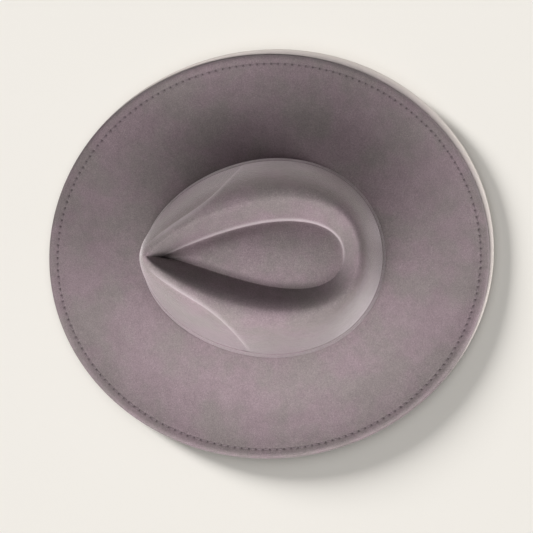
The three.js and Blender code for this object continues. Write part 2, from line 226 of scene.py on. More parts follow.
def crown_point(u, stage, depth, edge=SOFT_EDGE):
    """The point `depth` inside the crown's outside surface; a negative depth is outside it."""
    u, stage = np.broadcast_arrays(np.asarray(u, float), np.asarray(stage, float))
    step = 1e-3
    around = crown_surface(u + step, stage, edge) - crown_surface(u - step, stage, edge)
    below = np.maximum(0, stage - step)
    up = crown_surface(u, stage + step, edge) - crown_surface(u, below, edge)
    normal = np.cross(around, up)
    normal /= np.linalg.norm(normal, axis=-1, keepdims=True)
    normal[..., 2] *= smooth(stage / LEVEL_NORMAL_TO)  # at the foot, depth is measured level
    normal /= np.linalg.norm(normal, axis=-1, keepdims=True)
    return crown_surface(u, stage, edge) - normal * np.asarray(depth)[..., None]


def wall_stage(height):
    """Stage of the crown wall at a height above its foot, from the wall's own curve."""
    t = np.linspace(0, 1, 400)
    return np.interp(height / CREST_HEIGHT, bezier(WALL_CURVE, t)[1], t)


def wall_point(u, height, depth):
    return crown_point(u, wall_stage(height), depth)


def brim_height(u, s):
    fall = BREAK_RISE - (BREAK_RISE + REST_SINK) * smooth(s / BRIM_LOW_AT)
    past = np.maximum(0, s - BRIM_LOW_AT) / (1 - BRIM_LOW_AT)
    curl = RIM_RISE * np.minimum(past, 1) ** 3 + EDGE_RISE * np.maximum(0, past - 1)
    lift = SIDE_RISE * (np.maximum(0, s) * np.sin(u)) ** 2
    return np.maximum(0, fall + curl + lift)


def brim_point(u, s, above):
    """s runs from 0 at the crown's outside to 1 at the top layer's edge."""
    u, s, above = np.broadcast_arrays(u, s, above)
    rim = BRIM_MIDDLE + plan(BRIM_HALF_WIDTH * np.sin(u), -BRIM_HALF_LENGTH * np.cos(u))
    xy = crown_oval(u, GAP) * (1 - s)[..., None] + rim * s[..., None]
    return np.concatenate([xy, (brim_height(u, s) + above)[..., None]], -1)


def brim_width(u):
    return np.linalg.norm((brim_point(u, 1, 0) - brim_point(u, 0, 0))[..., :2], axis=-1)


# ------------------------------------------------------------------ meshes


def grid_faces(rows, sides, looped, first=0):
    """Quads over rows of a ring of points; looped joins the last row to the first."""
    row = np.arange(rows if looped else rows - 1)[:, None]
    side = np.arange(sides)[None, :]
    next_row, next_side = (row + 1) % rows, (side + 1) % sides
    corners = (row, side), (row, next_side), (next_row, next_side), (next_row, side)
    return np.stack([first + r * sides + i for r, i in corners], -1).reshape(-1, 4)


def add_mesh(name, points, faces, values=None):
    """A smooth-shaded mesh from points in millimetres, faces outward, placed in the frame."""
    mesh = bpy.data.meshes.new(name)
    placed = (np.asarray(points, float) + ORIGIN) * MM
    mesh.from_pydata(placed.tolist(), [], [list(map(int, f)) for f in faces])
    if signed_volume(mesh) < 0:
        mesh.flip_normals()
    for key, numbers in (values or {}).items():
        layer = mesh.attributes.new(key, "FLOAT", "POINT")
        layer.data.foreach_set("value", np.asarray(numbers, np.float32).ravel())
    mesh.shade_smooth()
    piece = bpy.data.objects.new(name, mesh)
    bpy.context.scene.collection.objects.link(piece)
    return piece


def signed_volume(mesh):
    mesh.calc_loop_triangles()
    points = np.zeros(len(mesh.vertices) * 3)
    mesh.vertices.foreach_get("co", points)
    corners = np.zeros(len(mesh.loop_triangles) * 3, int)
    mesh.loop_triangles.foreach_get("vertices", corners)
    a, b, c = points.reshape(-1, 3)[corners.reshape(-1, 3)].transpose(1, 0, 2)
    return float(np.einsum("ij,ij->i", a, np.cross(b, c)).sum())


def ring_piece(name, rows, values=None):
    """A closed ring from a loop of rows, each a ring of points."""
    rows = np.asarray(rows)
    return add_mesh(name, rows.reshape(-1, 3), grid_faces(*rows.shape[:2], True), values)


def capped_piece(name, start, rows, end, values=None):
    """A closed body whose rows begin and end at single points."""
    rows = np.asarray(rows)
    count, sides = rows.shape[:2]
    points = np.concatenate([[start], rows.reshape(-1, 3), [end]])
    faces = [list(f) for f in grid_faces(count, sides, False, first=1)]
    last = 1 + (count - 1) * sides
    for i in range(sides):
        j = (i + 1) % sides
        faces.append([0, 1 + j, 1 + i])
        faces.append([last + i, last + j, len(points) - 1])
    return add_mesh(name, points, faces, values)


def dress(piece, material, slot, *nodes):
    """Gives a piece its material and makes it stand for its CAD nodes; slot is not used."""
    piece.data.materials.append(material)
    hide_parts(*nodes)
    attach(piece, "root")
    return piece


# ------------------------------------------------------------------ materials


class Nodes:
    """Short names for building one material's nodes."""

    def __init__(self, name):
        self.material = bpy.data.materials.new(name)
        self.material.use_nodes = True
        self.tree = self.material.node_tree
        self.shader = self.tree.nodes["Principled BSDF"]

    def add(self, kind, **settings):
        node = self.tree.nodes.new(kind)
        for key, value in settings.items():
            setattr(node, key, value)
        return node

    def put(self, socket, value):
        if isinstance(value, bpy.types.NodeSocket):
            self.tree.links.new(value, socket)
        else:
            socket.default_value = value

    def place(self, stretch=(1, 1, 1)):
        """The surface's own coordinates, in metres, stretched along each axis."""
        mapping = self.add("ShaderNodeMapping")
        self.put(mapping.inputs["Vector"], self.add("ShaderNodeTexCoord").outputs["Object"])
        mapping.inputs["Scale"].default_value = stretch
        return mapping.outputs["Vector"]

    def noise(self, scale, detail=3, roughness=0.5, stretch=(1, 1, 1), distortion=0):
        node = self.add("ShaderNodeTexNoise")
        self.put(node.inputs["Vector"], self.place(stretch))
        self.put(node.inputs["Scale"], scale)
        self.put(node.inputs["Detail"], detail)
        self.put(node.inputs["Roughness"], roughness)
        self.put(node.inputs["Distortion"], distortion)
        return node.outputs["Fac"]

    def remap(self, value, low, high, to_low=0.0, to_high=1.0):
        node = self.add("ShaderNodeMapRange", interpolation_type="SMOOTHSTEP")
        numbers = (value, low, high, to_low, to_high)
        for name, number in zip(("Value", "From Min", "From Max", "To Min", "To Max"), numbers):
            self.put(node.inputs[name], number)
        return node.outputs["Result"]

    def mix(self, share, a, b, blend="MIX"):
        node = self.add("ShaderNodeMix", data_type="RGBA", blend_type=blend)
        self.put(node.inputs[0], share)
        self.put(node.inputs[6], a)
        self.put(node.inputs[7], b)
        return node.outputs[2]

    def maths(self, operation, *values):
        node = self.add("ShaderNodeMath", operation=operation)
        for socket, value in zip(node.inputs, values):
            self.put(socket, value)
        return node.outputs[0]

    def attribute(self, name):
        return self.add("ShaderNodeAttribute", attribute_name=name).outputs["Fac"]

    def bump(self, height, distance, strength=1.0, after=None):
        node = self.add("ShaderNodeBump")
        self.put(node.inputs["Height"], height)
        self.put(node.inputs["Distance"], distance)
        self.put(node.inputs["Strength"], strength)
        if after is not None:
            self.put(node.inputs["Normal"], after)
        return node.outputs["Normal"]

    def finish(self, **sockets):
        for name, value in sockets.items():
            self.put(self.shader.inputs[name.replace("_", " ")], value)
        return self.material


def rgb(red, green, blue):
    """A colour from its usual 0..255 values, as the shader's linear ones."""
    def linear(value):
        value /= 255
        return value / 12.92 if value <= 0.04045 else ((value + 0.055) / 1.055) ** 2.4

    return (linear(red), linear(green), linear(blue), 1.0)


SUEDE_PINK = rgb(139, 123, 128)
SUEDE_GREY = rgb(133, 123, 123)
SUEDE_SHEEN = rgb(235, 226, 229)
PAINTED_LIGHT_NAP = rgb(208, 196, 199)
CUT_EDGE = rgb(222, 213, 206)


def suede(name):
    """Brushed suede-finished felt: soft colour patches, rubbed nap, fine grain and a sheen.

    A mesh's "hole" values paint shade into its needle holes, its "worn" values paint a pale
    highlight on it, and its "pale" values show where the felt was cut.
    """
    n = Nodes(name)
    patches = n.remap(n.noise(22, 4, 0.6), 0.38, 0.62)
    colour = n.mix(patches, SUEDE_GREY, SUEDE_PINK)
    rubbed = n.remap(n.noise(95, 5, 0.62, distortion=0.4), 0.3, 0.72, 0.94, 1.06)
    grain = n.remap(n.noise(1500, 2, 0.6), 0.25, 0.75, 0.8, 1.2)
    speckle = n.remap(n.noise(620, 3, 0.6), 0.3, 0.7, 0.93, 1.07)
    # painted shade: the needle holes are darkened down to 0.42 of the colour
    hole = n.remap(n.attribute("hole"), 0.0, 1.0, 1.0, 0.42)
    shade = n.maths("MULTIPLY", rubbed, speckle)
    shade = n.maths("MULTIPLY", shade, n.maths("MULTIPLY", grain, hole))
    colour = n.mix(1.0, colour, shade, "MULTIPLY")
    # pale painted light: the nap colour mixed in along the lips, the crease, the band's folds and the
    # brim's rim
    colour = n.mix(n.maths("MULTIPLY", n.attribute("wear_and_painted_light"), 0.55), colour, PAINTED_LIGHT_NAP)
    colour = n.mix(n.attribute("pale"), colour, CUT_EDGE)
    nap = n.bump(n.noise(1300, 3, 0.65), 0.0004, 0.55)
    nap = n.bump(n.noise(260, 4, 0.6), 0.0012, 0.25, nap)
    return n.finish(
        Base_Color=colour, Roughness=0.92, Specular_IOR_Level=0.15, Normal=nap,
        Sheen_Weight=0.95, Sheen_Roughness=0.35, Sheen_Tint=SUEDE_SHEEN,
    )


def thread(name, colour):
    n = Nodes(name)
    fibres = n.remap(n.noise(2600, 2, 0.6), 0.3, 0.7, 0.75, 1.15)
    tint = n.mix(1.0, colour, fibres, "MULTIPLY")
    bumps = n.bump(n.noise(3200, 2, 0.5), 0.0001, 0.6)
    return n.finish(
        Base_Color=tint, Roughness=0.6, Normal=bumps, Specular_IOR_Level=0.35,
        Sheen_Weight=0.2,
    )


def leather(name):
    n = Nodes(name)
    cells = n.add("ShaderNodeTexVoronoi", feature="DISTANCE_TO_EDGE")
    n.put(cells.inputs["Vector"], n.place())
    n.put(cells.inputs["Scale"], 900)
    grain = n.remap(cells.outputs["Distance"], 0.0, 0.22)
    wear_and_painted_light = n.remap(n.noise(60, 4, 0.6), 0.35, 0.7)
    colour = n.mix(wear_and_painted_light, rgb(92, 64, 52), rgb(118, 86, 70))
    colour = n.mix(grain, rgb(62, 42, 35), colour)
    bumps = n.bump(grain, 0.00015, 0.5)
    bumps = n.bump(n.noise(180, 3, 0.5), 0.0006, 0.25, bumps)
    rough = n.remap(n.noise(120, 3, 0.5), 0.3, 0.7, 0.38, 0.55)
    return n.finish(Base_Color=colour, Roughness=rough, Normal=bumps, Specular_IOR_Level=0.45)


def woven(name, light, dark, scale, roughness, sheen):
    """Cloth of crossing threads, for satin, ribbon and tape."""
    n = Nodes(name)
    waves = []
    for axis in ("X", "Y", "Z"):
        wave = n.add("ShaderNodeTexWave", bands_direction=axis)
        n.put(wave.inputs["Vector"], n.place())
        n.put(wave.inputs["Scale"], scale)
        n.put(wave.inputs["Distortion"], 0.4)
        waves.append(wave.outputs["Fac"])
    weave = n.maths("MAXIMUM", n.maths("MULTIPLY", waves[0], waves[1]), waves[2])
    slub = n.remap(n.noise(140, 3, 0.5), 0.3, 0.7)
    colour = n.mix(n.maths("MULTIPLY", slub, 0.7), light, dark)
    colour = n.mix(n.maths("MULTIPLY", weave, 0.3), colour, dark)
    bumps = n.bump(weave, 0.0001, 0.5)
    return n.finish(
        Base_Color=colour, Roughness=roughness, Normal=bumps, Sheen_Weight=sheen,
        Specular_IOR_Level=0.5,
    )


def steel(name):
    n = Nodes(name)
    drawn = n.noise(500, 3, 0.6, stretch=(1, 1, 6))
    rough = n.remap(drawn, 0.3, 0.7, 0.28, 0.45)
    return n.finish(Base_Color=rgb(186, 188, 192), Metallic=1.0, Roughness=rough)


def plastic(name):
    n = Nodes(name)
    rough = n.remap(n.noise(300, 2, 0.5), 0.3, 0.7, 0.35, 0.5)
    bumps = n.bump(n.noise(700, 2, 0.5), 0.0001, 0.2)
    return n.finish(Base_Color=rgb(217, 214, 207), Roughness=rough, Normal=bumps)


def core_felt(name):
    n = Nodes(name)
    fibres = n.noise(700, 5, 0.7, stretch=(1, 1, 3))
    colour = n.mix(fibres, rgb(88, 80, 82), rgb(134, 124, 126))
    return n.finish(Base_Color=colour, Roughness=0.95, Normal=n.bump(fibres, 0.0005, 0.6))


SUEDE = suede("suede_felt")
UNDER_SUEDE = suede("suede_felt_under")
EDGE_THREAD = thread("edge_thread", rgb(138, 123, 129))
BAND_THREAD = thread("cream_thread", rgb(212, 203, 190))
LEATHER = leather("sweatband_leather")
SATIN = woven("satin", rgb(196, 184, 186), rgb(164, 150, 153), 900, 0.3, 0.3)
RIBBON = woven("grosgrain", rgb(98, 84, 90), rgb(70, 58, 64), 500, 0.6, 0.3)
TAPE = woven("waxed_tape", rgb(56, 49, 50), rgb(40, 34, 35), 600, 0.7, 0.2)
STEEL = steel("spring_steel")
PLASTIC = plastic("reed_plastic")
CORE = core_felt("stiff_core")

# ------------------------------------------------------------------ camera

CAMERA_DISTANCE = 1.6
CAMERA_LEAN = (0.0429, 0.0749)  # towards +X and +Y for each unit of height
CAMERA_ROLL = -0.0334  # radians
CAMERA_LENS = 120.4
LOOK_AT = Vector((0.0121, -0.0023, 0.015))


def add_camera():
    back = Vector((*CAMERA_LEAN, 1)).normalized()
    roughly_up = Vector((-math.cos(CAMERA_ROLL), -math.sin(CAMERA_ROLL), 0))
    right = (-back).cross(roughly_up).normalized()
    up = back.cross(right)
    data = bpy.data.cameras.new("camera")
    data.lens = CAMERA_LENS
    data.clip_end = 50
    camera = bpy.data.objects.new("camera", data)
    turn = Matrix((right, up, back)).transposed().to_4x4()
    camera.matrix_world = Matrix.Translation(LOOK_AT + back * CAMERA_DISTANCE) @ turn
    bpy.context.scene.collection.objects.link(camera)
    bpy.context.scene.camera = camera


add_camera()

# ------------------------------------------------------------------ crown


def hump(x, middle, half):
    """1 at the middle, falling smoothly to about a third at half away."""
    return np.exp(-(((x - middle) / half) ** 2))


# Strengths of the painted highlights along the dents' lips and along the crease's edge.
LIP_HIGHLIGHT, CREASE_HIGHLIGHT = 0.75, 0.9


def crown_painted_highlight(u, stage):
    """How much pale highlight is painted on: along the lips of the dents, and along the crease's steep
    edge on its -X side alone.
    """
    along_lip = dent_start(u) * hump(lip_level(u, stage), 0.97, 0.12)
    along_lip *= smooth((stage - 0.08) / 0.3)  # the lip is gone at the crown's foot
    towards_right = smooth((0.3 - np.sin(u)) / 0.45)
    along_crease = towards_right * hump(stage, 1.94, 0.07)
    return LIP_HIGHLIGHT * along_lip * (stage < 1) + CREASE_HIGHLIGHT * along_crease


def crown():
    u = angles(CROWN_SIDES)
    wall = np.linspace(0, 1, 100)
    fall = 1 + np.linspace(0, 1, 36)[1:] ** 0.8
    dome = 2 + np.linspace(0, 1, 34)[1:-1] ** 1.3
    outside = np.concatenate([wall, fall, dome])[::-1]
    inside = np.concatenate([wall[::3], fall[1::2], dome[::2]])
    middle = np.array([DOME["x"], DOME["y"], CROWN_FOOT + DOME["height"]])
    rows = [crown_surface(u, stage) for stage in outside]
    rows += [crown_point(u, stage, CROWN_THICKNESS) for stage in inside]
    # pale painted highlight, on the outside rows only
    wear_and_painted_light = [crown_painted_highlight(u, stage) for stage in outside] + [0 * u for _ in inside]
    under = middle - np.array([0, 0, CROWN_THICKNESS])
    return capped_piece("crown", middle, rows, under, {"wear_and_painted_light": [0, *np.ravel(wear_and_painted_light), 0]})


dress(crown(), SUEDE, "suede", "crown_shell")

# ------------------------------------------------------------------ brim

GROOVE_DEPTH, GROOVE_HALF = 0.18, 0.015
HOLE_DEPTH, HOLE_HALF = 0.7, 0.011
SEAM_HALF = 0.024  # half the width of the band of close rows at the stitching
LAST_ROW = 0.992  # before the rounded edge

# Shares of the brim's width:
INNER_EDGE_ZONE = 0.3  # within it, rows are shifted to reach the layer's own inner edge
RIM_FALL_FROM = 0.955
# from here outwards the rounded rim gets its pale painted light
RIM_PAINTED_LIGHT_FROM = 0.982
UNDERSIDE_FALL_FROM, UNDERSIDE_FALL_OVER = 0.93, 0.03

RIM_FALL = 0.9  # share of the curl that the upper face has made when it reaches the rounded edge
# strength of the pale light painted on the rounded rims, against the shade at the step
RIM_PAINTED_LIGHT = 0.4
EDGE_INSET = 0.3


def stitch_groove(u, s):
    """(how far the seam pulls the surface in, how much of a needle hole is here)."""
    hole = np.cos(u * STITCHES / 2) ** 8 * hump(s, STITCH_AT, HOLE_HALF)
    return GROOVE_DEPTH * hump(s, STITCH_AT, GROOVE_HALF) + HOLE_DEPTH * hole, hole


def brim_rows():
    """Shares of the brim's width, close together at the stitching and the rim."""
    seam = STITCH_AT + np.linspace(-SEAM_HALF, SEAM_HALF, 13)
    inner = np.linspace(0, seam[0], 34)[:-1]
    outer = np.linspace(seam[-1], LAST_ROW, 10)[1:]
    return np.concatenate([inner, seam, outer])


def proud_of_top(u):
    """How far the under layer stands out past the top layer."""
    towards = (1 + np.cos(u - UNDER_PROUD["at"])) / 2
    least, most = UNDER_PROUD["least"], UNDER_PROUD["most"]
    return least + (most - least) * towards ** UNDER_PROUD["sharpness"]


def pale_share(u):
    """Where the pale cut edge shows: only where the under layer stands well proud."""
    return smooth((proud_of_top(u) - 1) / 1.5)


def brim_layer(name, bottom, top, edge, inner, groove_top, groove_bottom, closed_rim=0.0):
    """A layer of the brim with rounded edges and its side of the stitching.

    inner and edge are where it begins and ends, as shares of the brim's width. closed_rim is
    how far its outer edge curls down to meet the layer below. Both layers' rounded edges get a
    pale painted light where the under layer stands proud, lifting the shade at the step there.
    """
    u = angles(BRIM_SIDES)
    width = brim_width(u)
    shares = brim_rows()
    rows, holes, wear_and_painted_light = [], [], []
    middle, half = (bottom + top) / 2, (top - bottom) / 2
    rim_fall = RIM_FALL * closed_rim

    def put(s, above, groove=0.0):
        pull, hole = stitch_groove(u, s)
        rows.append(brim_point(u, s, above + groove * pull))
        holes.append(hole * abs(groove))
        # pale painted light over the rim, only where the under layer stands proud
        wear_and_painted_light.append(RIM_PAINTED_LIGHT * pale_share(u) * smooth((s - RIM_PAINTED_LIGHT_FROM) / (1 - RIM_PAINTED_LIGHT_FROM)))

    def from_inner_edge(s):
        return inner + (1 - inner) * s if s < INNER_EDGE_ZONE else s

    for s in shares[1:]:
        fall = rim_fall * max(0, (s - RIM_FALL_FROM) / (1 - RIM_FALL_FROM)) ** 2
        put(from_inner_edge(s), top - fall, -groove_top)
    for turn in np.linspace(0, math.pi, 9):
        outward = (half * np.sin(turn) - EDGE_INSET) / width
        low = rim_fall + (closed_rim - rim_fall) * smooth((turn - 1) / 1.5)
        put(edge + outward, middle + half * np.cos(turn) - low)
    for s in shares[:0:-1]:
        low = closed_rim * smooth((s - UNDERSIDE_FALL_FROM) / UNDERSIDE_FALL_OVER)
        put(from_inner_edge(s), bottom - low, groove_bottom)
    for turn in np.linspace(math.pi, 2 * math.pi, 5):
        put(inner + half * (np.sin(turn) + 1) / width, middle + half * np.cos(turn))
    return ring_piece(name, rows, {"hole": np.array(holes), "wear_and_painted_light": np.array(wear_and_painted_light)})


def brim_top():
    """The top layer, whose rim curls down over the core and the wire."""
    rim_drop = TOP_LAYER_BOTTOM - LAYER - GAP
    return brim_layer("brim_top", TOP_LAYER_BOTTOM, BRIM_TOP, 1.0, 0.0, 1, 0, rim_drop)


def brim_under():
    """The under layer, with pale values that rise from the top layer's edge outwards."""
    u = angles(BRIM_SIDES)
    width = brim_width(u)
    inner = -CROWN_THICKNESS / width
    piece = brim_layer("brim_under", 0, LAYER, 1 + proud_of_top(u) / width, inner, 0, 1)
    points = np.zeros(len(piece.data.vertices) * 3)
    piece.data.vertices.foreach_get("co", points)
    local = points.reshape(-1, 3) / MM - ORIGIN
    around = np.tile(u, len(local) // len(u))
    rim = brim_point(around, 1, 0)
    reach = np.linalg.norm(local[:, :2] - BRIM_MIDDLE, axis=1)
    past = reach - np.linalg.norm(rim[:, :2] - BRIM_MIDDLE, axis=1)
    pale = piece.data.attributes.new("pale", "FLOAT", "POINT")
    # The cut edge's own pale colour comes in over about 2 mm past the top layer's edge; the darker
    # strip next to that edge is painted shade.
    share = smooth((past + 0.6) / 2.2) * pale_share(around)
    pale.data.foreach_set("value", share.astype(np.float32))
    return piece


brim_top_cloth = dress(brim_top(), SUEDE, "suede", "brim_top_layer")
brim_under_cloth = dress(brim_under(), UNDER_SUEDE, "under_suede", "brim_under_layer")

# ------------------------------------------------------------------ threads


PLIES, PLY_SIDES = 2, 6
PLY_OFFSET, PLY_RADIUS = 0.5, 0.62  # shares of the thread's radius


def twisted_stitches(name, paths, radius, turns=1.6):
    """Separate stitches of two-ply thread, each along its own short path."""
    points, faces = [], []
    for path in paths:
        steps = len(path)
        along = np.gradient(path, axis=0)
        along /= np.linalg.norm(along, axis=1, keepdims=True)
        across = np.cross(along, [0, 0, 1.0])
        across /= np.linalg.norm(across, axis=1, keepdims=True)
        upward = np.cross(across, along)
        thin = np.sin(np.linspace(0.25, math.pi - 0.25, steps)) ** 0.4
        for ply in range(PLIES):
            first = len(points)
            spin = np.linspace(0, turns * 2 * math.pi, steps) + ply * 2 * math.pi / PLIES
            offset = across * np.cos(spin)[:, None] + upward * np.sin(spin)[:, None]
            core = path + offset * (radius * PLY_OFFSET * thin)[:, None]
            for a in angles(PLY_SIDES):
                side = across * math.cos(a) + upward * math.sin(a)
                points.extend(core + side * (radius * PLY_RADIUS * thin)[:, None])
            for k in range(PLY_SIDES):
                here, there = first + k * steps, first + (k + 1) % PLY_SIDES * steps
                for i in range(steps - 1):
                    faces.append([here + i, here + i + 1, there + i + 1, there + i])
            faces.append([first + k * steps for k in range(PLY_SIDES)])
            faces.append([first + k * steps + steps - 1 for k in range(PLY_SIDES)][::-1])
    return add_mesh(name, points, faces)


EDGE_THREAD_RADIUS, CROWN_SEAM_THREAD_RADIUS = 0.28, 0.25
SWEATBAND_THREAD_RADIUS, LABEL_THREAD_RADIUS = 0.26, 0.16
EDGE_STITCH_SINK, EDGE_STITCH_ARCH = 0.1, 0.35


def brim_stitch_paths(above, arch):
    """One path for each stitch round the brim, from needle hole to needle hole."""
    step = 2 * math.pi / STITCHES
    share = np.linspace(0.1, 0.9, 9)
    for i in range(STITCHES):
        u = (i + share) * step
        yield brim_point(u, STITCH_AT, above + arch * (np.sin(share * math.pi) - 0.45))


def edge_seam(name, above, arch, node):
    paths = brim_stitch_paths(above, arch)
    return dress(twisted_stitches(name, paths, EDGE_THREAD_RADIUS), EDGE_THREAD, "edge_thread", node)


edge_stitches = [
    edge_seam("edge_stitches", BRIM_TOP - EDGE_STITCH_SINK, EDGE_STITCH_ARCH, "edge_stitching_top"),
    edge_seam("edge_stitches_under", EDGE_STITCH_SINK, -EDGE_STITCH_ARCH, "edge_stitching_under"),
]

# ------------------------------------------------------------------ bands inside and out


def wall_band(name, foot, top, depth, thickness, sides, rows, wave=None):
    """A band on the inside of the crown wall, with rounded edges."""
    u = angles(sides)
    half = thickness / 2
    middle = depth + half
    out = []

    def put(height, depth):
        shift = wave(u, height) if wave else 0
        out.append(wall_point(u, height, depth + shift))

    for height in np.linspace(foot + half, top - half, rows):
        put(height, middle - half)
    for turn in np.linspace(0, math.pi, 7)[1:-1]:
        put(top - half + half * math.sin(turn), middle - half * math.cos(turn))
    for height in np.linspace(top - half, foot + half, rows):
        put(height, middle + half)
    for turn in np.linspace(0, math.pi, 7)[1:-1]:
        put(foot + half - half * math.sin(turn), middle + half * math.cos(turn))
    return ring_piece(name, out)


def section_ring(name, section, centre_at):
    """A ring round the hat whose section is a loop of (outward, up) offsets from a centre line."""
    u = angles(BAND_SIDES)
    along = centre_at(u + 1e-3) - centre_at(u - 1e-3)
    outward = np.stack([along[:, 1], -along[:, 0]], -1)
    outward /= np.linalg.norm(outward, axis=1, keepdims=True)
    centre = centre_at(u)
    rows = []
    for out, up in section:
        row = centre.copy()
        row[:, :2] += outward * out
        row[:, 2] += up
        rows.append(row)
    return ring_piece(name, rows)


def wall_stitch_paths(count, height, depth, arch, slant=0.0):
    """One path for each stitch round the inside of the crown wall, sloping up by slant."""
    step = 2 * math.pi / count
    share = np.linspace(0.08, 0.92, 9)
    for i in range(count):
        lift = slant * (share - 0.5)
        yield wall_point((i + share) * step, height + lift, depth + arch * np.sin(share * math.pi))


BAND_FOLDS = 3
# the second number is the strength of a pale highlight painted along each fold's edge
FOLD_RELIEF, FOLD_HIGHLIGHT = 0.5, 0.9
BAND_INSIDE, BAND_LEAST = 0.02, 0.05  # how far its inner and outer faces clear the crown


def folded_band():
    """The outside hat band: one strip laid in three overlapping folds, tight to the crown."""
    u = angles(BAND_SIDES)
    heights = np.linspace(BAND_FOOT, BAND_TOP, 58)
    rows, wear_and_painted_light = [], []
    for height in heights:
        share = (BAND_TOP - height) / (BAND_TOP - BAND_FOOT)
        fold = share * BAND_FOLDS % 1
        swell = BAND_THICKNESS * share + FOLD_RELIEF * math.sin(math.pi * fold) ** 0.5
        rows.append(wall_point(u, height, -BAND_LEAST - swell * smooth(share / 0.06)))
        # a pale painted highlight along each fold's edge
        wear_and_painted_light.append(FOLD_HIGHLIGHT * hump(fold, 0.7, 0.16) + 0 * u)
    for height in heights[::-3]:
        rows.append(wall_point(u, height, -BAND_INSIDE))
        wear_and_painted_light.append(0 * u)
    return ring_piece("hat_band_cloth", rows, {"wear_and_painted_light": np.array(wear_and_painted_light)})


def crown_seam():
    """Slanting stitches on the crown's inner face, where it is sewn to the brim."""
    paths = wall_stitch_paths(CROWN_SEAM_STITCHES, CROWN_SEAM_HEIGHT, LINING_DEPTH - 0.15, 0.45, 1.2)
    return twisted_stitches("crown_seam_stitches", paths, CROWN_SEAM_THREAD_RADIUS)


def sweatband_seam():
    """A row of stitches on the sweatband's face, just above its lower edge."""
    paths = wall_stitch_paths(SWEATBAND_STITCHES, SWEATBAND_SEAM_HEIGHT, SWEATBAND_FACE - 0.05, 0.5)
    return twisted_stitches("sweatband_stitches", paths, SWEATBAND_THREAD_RADIUS)


hat_band = dress(folded_band(), SUEDE, "suede", "hat_band")
dress(crown_seam(), EDGE_THREAD, "edge_thread", "crown_seam_thread")
sweatband = wall_band("sweatband_leather", 0, SWEATBAND_TOP, SWEATBAND_DEPTH, SWEATBAND_THICKNESS,
                      SWEATBAND_SIDES, 24)
dress(sweatband, LEATHER, "leather", "sweatband")
dress(sweatband_seam(), BAND_THREAD, "band_thread", "sweatband_stitching")


def reed_centre(u):
    """The reed hangs just below the lower edge of the sweatband."""
    centre = wall_point(u, 0, SWEATBAND_DEPTH + SWEATBAND_THICKNESS / 2)
    centre[:, 2] -= REED_RADIUS + TAPE_THICKNESS + 2 * GAP
    return centre


def reed_section():
    turn = angles(16)
    return plan(np.cos(turn), np.sin(turn)) * REED_RADIUS


def tape_section():
    """Folded round the reed from outside and open towards the head, with rounded edges."""
    turn = np.linspace(-0.8, 0.8, 19) * math.pi
    middle = REED_RADIUS + GAP + TAPE_THICKNESS / 2
    half = TAPE_THICKNESS / 2 * (1 - 0.5 * (np.abs(turn) / turn[-1]) ** 12)
    direction = plan(np.cos(turn), np.sin(turn))
    outside = direction * (middle + half)[:, None]
    inside = direction * (middle - half)[:, None]
    return np.concatenate([outside, inside[::-1]])


dress(section_ring("reed", reed_section(), reed_centre), PLASTIC, "reed_plastic", "sweatband_reed")
dress(section_ring("reed_tape", tape_section(), reed_centre), TAPE, "tape_fabric",
      "sweatband_reed_tape")


RIBBON_THICKNESS = 0.35
RIBBON_SQUARENESS = 0.6  # 1 is an oval section, less is squarer


def ribbon_strip(name, path, width_at):
    """A ribbon standing on edge along a path, with rounded edges."""
    along = np.gradient(path, axis=0)
    along /= np.linalg.norm(along, axis=1, keepdims=True)
    across = np.stack([along[:, 1], -along[:, 0], 0 * along[:, 0]], -1)
    across /= np.linalg.norm(across, axis=1, keepdims=True)

    def squared(x):
        return np.sign(x) * abs(x) ** RIBBON_SQUARENESS

    rows = []
    for a in angles(20):
        row = path + across * squared(math.cos(a)) * RIBBON_THICKNESS / 2
        row[:, 2] += squared(math.sin(a)) * width_at / 2
        rows.append(row)
    return capped_piece(name, path[0], np.array(rows).transpose(1, 0, 2), path[-1])


BOW_MIDDLE = (BOW_LOW + BOW_HIGH) / 2 - ORIGIN
BOW_REACH = (BOW_HIGH - BOW_LOW)[0] / 2
BOW_HEIGHT = (BOW_HIGH - BOW_LOW)[2]
LOOP_START, LOOP_END_INSET, LOOP_OPEN = 1.2, 0.2, 0.8
LOOP_WIDTH_AT_KNOT, LOOP_TOP_INSET = 3.2, 0.4
TAIL = {"start": 1, "reach": 7, "behind": 1.1, "lower": 1, "drop": 5, "width": 3.4, "flare": 1.2}
KNOT_HALF_LENGTH, KNOT_HALF_DEPTH, KNOT_WIDTH = 1.7, 1.35, 4.6


def bow_loop(side):
    """(path, width) of a loop that goes out to one side and comes back to the knot."""
    share = np.linspace(0, 1, 40)
    away = np.sin(share * math.pi)
    reach = LOOP_START + (BOW_REACH - LOOP_START - LOOP_END_INSET) * away ** 0.8
    path = np.stack([side * reach, -LOOP_OPEN * np.sin(share * 2 * math.pi), 0 * share], -1)
    widening = BOW_HEIGHT - LOOP_WIDTH_AT_KNOT - LOOP_TOP_INSET
    return BOW_MIDDLE + path, LOOP_WIDTH_AT_KNOT + widening * away


def bow_tail(side):
    """(path, width) of a tail that slants down behind a loop and flares."""
    share = np.linspace(0, 1, 40)
    out = side * (TAIL["start"] + TAIL["reach"] * share)
    path = np.stack([out, TAIL["behind"] + 0 * share, -TAIL["lower"] - TAIL["drop"] * share], -1)
    return BOW_MIDDLE + path, TAIL["width"] + TAIL["flare"] * share


def bow_knot():
    """(path, width) of the ribbon wound round the middle, its ends overlapping."""
    turn = angles(33)[:-1]
    ring = np.stack([KNOT_HALF_LENGTH * np.cos(turn), KNOT_HALF_DEPTH * np.sin(turn), 0 * turn], -1)
    return BOW_MIDDLE + np.concatenate([ring, ring[:2]]), KNOT_WIDTH


